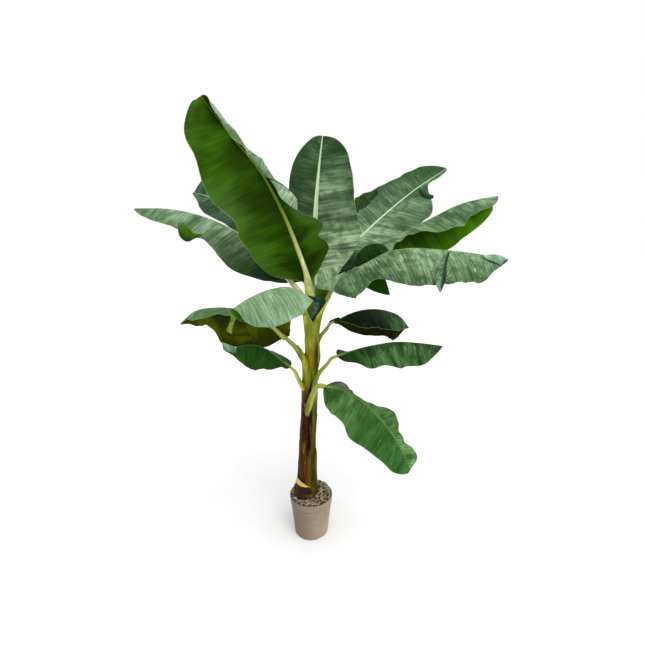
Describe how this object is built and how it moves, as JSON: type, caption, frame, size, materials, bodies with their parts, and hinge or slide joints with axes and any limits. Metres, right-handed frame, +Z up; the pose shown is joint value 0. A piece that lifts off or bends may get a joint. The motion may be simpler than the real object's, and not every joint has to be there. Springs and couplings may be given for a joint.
{
  "type": "potted banana plant",
  "caption": "Tall banana plant in a round tapered nursery pot, with a sheathed stem and large arching leaves on curved stalks.",
  "frame": {"origin": "middle of the pot's flat underside", "axes": "+Z up along the pot's axis, -Y towards the front of the plant, +X towards its right-hand side seen from the front"},
  "size_m": [2.1532, 1.2202, 2.605],
  "materials": {
    "pot_plastic": "matt taupe plastic",
    "compost": "damp compost under bark chips and grit",
    "stem_sheath": "smooth green and yellow sheaths with maroon and dark brown streaks",
    "old_sheath": "cut, yellowed sheath",
    "dry_sheath": "dry, papery grey-brown sheath",
    "leaf_stalk": "smooth yellow-green stalk",
    "leaf_blade": "green blade, bluish and satin above, brighter green below"
  },
  "bodies": {
    "root": {"pot": "pot_plastic", "soil": "compost", "stem": "stem_sheath", "cut_sheath_stub": "old_sheath", "dry_sheath_edge": "dry_sheath", "tall_left_stalk": "leaf_stalk", "centre_stalk": "leaf_stalk", "back_right_stalk": "leaf_stalk", "rising_right_stalk": "leaf_stalk", "arching_right_stalk": "leaf_stalk", "arching_left_stalk": "leaf_stalk", "back_left_stalk": "leaf_stalk", "front_left_stalk": "leaf_stalk", "hanging_left_stalk": "leaf_stalk", "low_left_stalk": "leaf_stalk", "back_low_right_stalk": "leaf_stalk", "low_right_stalk": "leaf_stalk", "lowest_right_stalk": "leaf_stalk", "tall_left_blade": "leaf_blade", "centre_blade": "leaf_blade", "back_right_blade": "leaf_blade", "rising_right_blade": "leaf_blade", "arching_right_blade": "leaf_blade", "arching_left_blade": "leaf_blade", "back_left_blade": "leaf_blade", "front_left_blade": "leaf_blade", "hanging_left_blade": "leaf_blade", "low_left_blade": "leaf_blade", "back_low_right_blade": "leaf_blade", "low_right_blade": "leaf_blade", "lowest_right_blade": "leaf_blade"}
  },
  "joints": []
}
